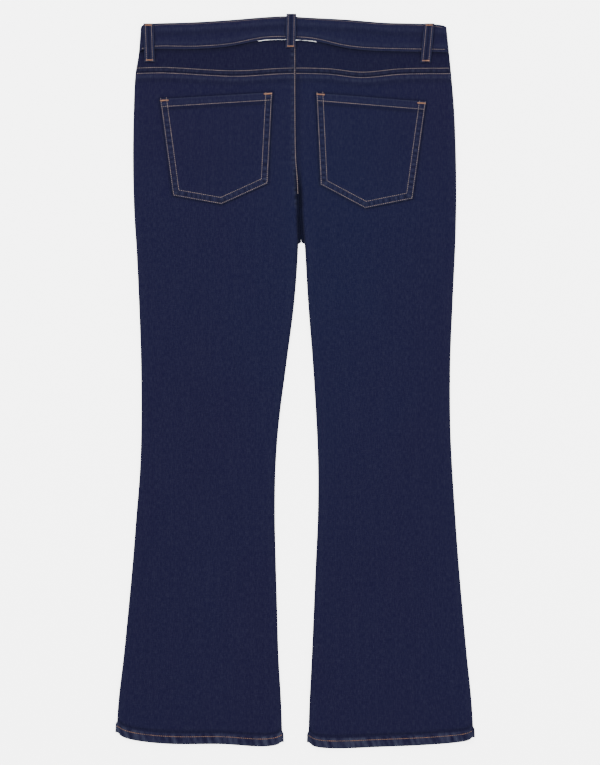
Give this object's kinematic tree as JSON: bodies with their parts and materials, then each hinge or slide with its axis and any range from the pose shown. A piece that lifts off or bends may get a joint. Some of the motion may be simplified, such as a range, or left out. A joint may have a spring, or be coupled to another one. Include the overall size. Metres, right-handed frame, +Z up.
{
  "type": "bootcut jeans",
  "caption": "Dark denim bootcut jeans laid flat with the back up: waistband with belt loops, yoke, patch back pockets and legs that flare to stitched hems",
  "frame": {"origin": "on the surface that the jeans lie on, under the middle of the whole garment's box", "axes": "+Y runs from the hems to the waistband, +X to the wearer's right, and +Z up out of the back of the garment, which lies uppermost"},
  "size_m": [0.5404, 1.1004, 0.0102],
  "materials": {
    "denim": "dark indigo stretch denim twill with light slubs, matt",
    "yoke_denim": "dark indigo stretch denim twill, slightly darker, matt",
    "pocket_denim": "dark indigo denim with puckered, lightly worn stitched edges",
    "trim_denim": "dark indigo denim in several layers, lighter on its worn edges",
    "button_metal": "plain antiqued metal, unmarked"
  },
  "bodies": {
    "root": {"left_back_panel": "denim", "right_back_panel": "denim", "left_front_panel": "denim", "right_front_panel": "denim", "left_yoke": "yoke_denim", "right_yoke": "yoke_denim", "left_back_pocket": "pocket_denim", "right_back_pocket": "pocket_denim", "left_pocket_facing": "trim_denim", "right_pocket_facing": "trim_denim", "waistband_back": "trim_denim", "waistband_front_left": "trim_denim", "waistband_front_right": "trim_denim", "belt_loop_back_centre": "trim_denim", "belt_loop_back_left": "trim_denim", "belt_loop_back_right": "trim_denim", "belt_loop_front_left": "trim_denim", "belt_loop_front_right": "trim_denim", "fly": "trim_denim", "button": "button_metal"}
  },
  "joints": []
}
